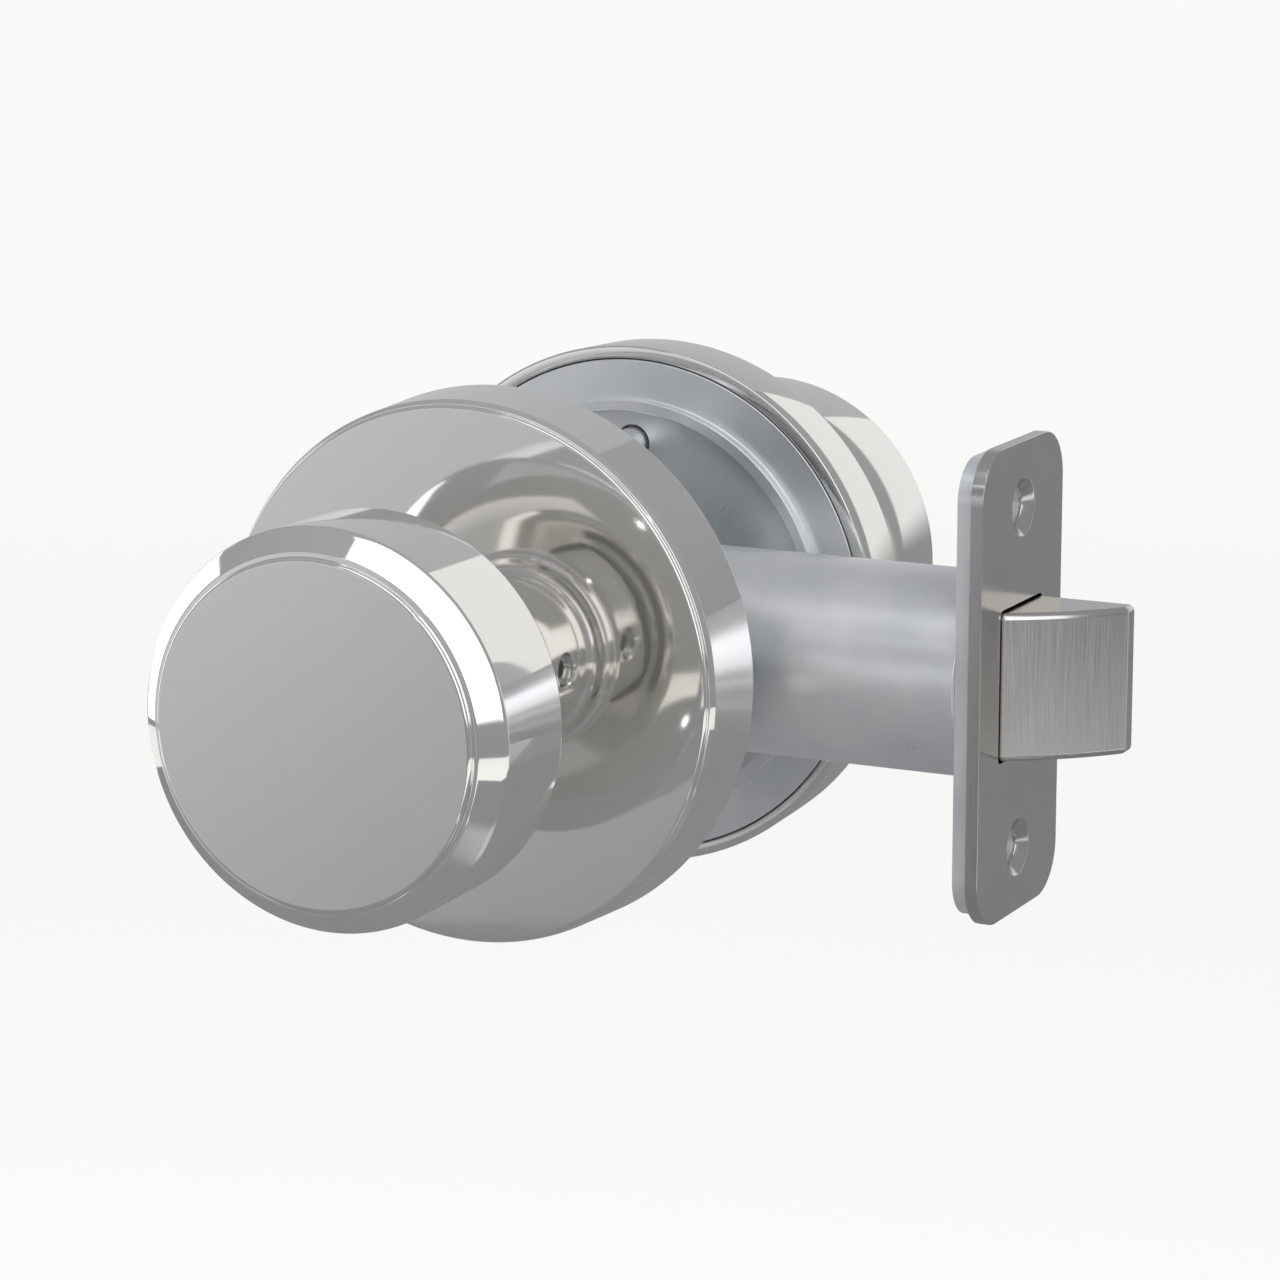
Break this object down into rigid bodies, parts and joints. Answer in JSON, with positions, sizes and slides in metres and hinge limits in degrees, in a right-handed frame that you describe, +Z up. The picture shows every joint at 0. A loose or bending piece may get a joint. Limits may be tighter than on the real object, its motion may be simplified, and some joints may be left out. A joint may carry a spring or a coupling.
{
  "type": "interior door knob lock",
  "caption": "Round knobs on deep stepped roses, joined by a square spindle through a sprung tubular latch with a bevelled bolt, for an interior door.",
  "frame": {"origin": "on the spindle's axis, in the middle of the door's thickness: the centre of the door's cross bore", "axes": "+X along the latch, out of the door's edge; +Y along the spindle, into the room on the inside of the door; +Z up"},
  "size_m": [0.1053, 0.127, 0.0666],
  "materials": {
    "polished_nickel": "polished nickel on turned brass",
    "nickel_plated_latch": "polished nickel plate",
    "zinc_plated_steel": "zinc plated, semi-bright",
    "spring_steel": "drawn spring wire",
    "bright_steel": "bright turned steel",
    "white_acetal": "moulded acetal"
  },
  "bodies": {
    "fixed_parts": {"outside_rose": "polished_nickel", "inside_rose": "polished_nickel", "faceplate": "nickel_plated_latch", "outside_rose_bush": "white_acetal", "inside_rose_bush": "white_acetal", "outside_return_spring": "spring_steel", "inside_return_spring": "spring_steel", "latch_spring": "spring_steel", "outside_mounting_plate": "zinc_plated_steel", "inside_mounting_plate": "zinc_plated_steel", "outside_spring_cage": "zinc_plated_steel", "inside_spring_cage": "zinc_plated_steel", "outside_cage_rivets": "zinc_plated_steel", "inside_cage_rivets": "zinc_plated_steel", "upper_post": "zinc_plated_steel", "lower_post": "zinc_plated_steel", "upper_fixing_screw": "zinc_plated_steel", "lower_fixing_screw": "zinc_plated_steel", "latch_case": "zinc_plated_steel", "latch_tube": "zinc_plated_steel", "spring_seat": "zinc_plated_steel", "backing_plate": "zinc_plated_steel"},
    "turning_parts": {"outside_knob": "polished_nickel", "inside_knob": "polished_nickel", "outside_set_screw": "bright_steel", "inside_set_screw": "bright_steel", "outside_drive_cam": "zinc_plated_steel", "inside_drive_cam": "zinc_plated_steel", "outside_retaining_ring": "spring_steel", "inside_retaining_ring": "spring_steel", "spindle": "zinc_plated_steel", "latch_hub": "zinc_plated_steel"},
    "drawbar": {"retractor": "zinc_plated_steel"},
    "bolt": {"latch_bolt": "nickel_plated_latch", "bolt_tail": "zinc_plated_steel", "tail_pin": "zinc_plated_steel"}
  },
  "joints": [
    {"name": "knob_turn", "type": "hinge", "parent": "fixed_parts", "child": "turning_parts", "pos_m": [0, 0, 0], "axis": [0, 1, 0], "range_deg": [0, 66], "stiffness_Nm_per_rad": 0.15, "springref_deg": -28.65, "deforming": ["outside_return_spring", "inside_return_spring"]},
    {"name": "retractor_slide", "type": "slide", "parent": "fixed_parts", "child": "drawbar", "axis": [-1, 0, 0], "range_m": [0, 0.012]},
    {"name": "bolt_push", "type": "slide", "parent": "drawbar", "child": "bolt", "axis": [-1, 0, 0], "range_m": [0, 0.012], "stiffness_N_per_m": 300, "springref_m": -0.01, "deforming": ["latch_spring"]}
  ],
  "couplings": [
    {"joint": "retractor_slide", "follows": "knob_turn", "m_per_rad": 0.010417}
  ]
}
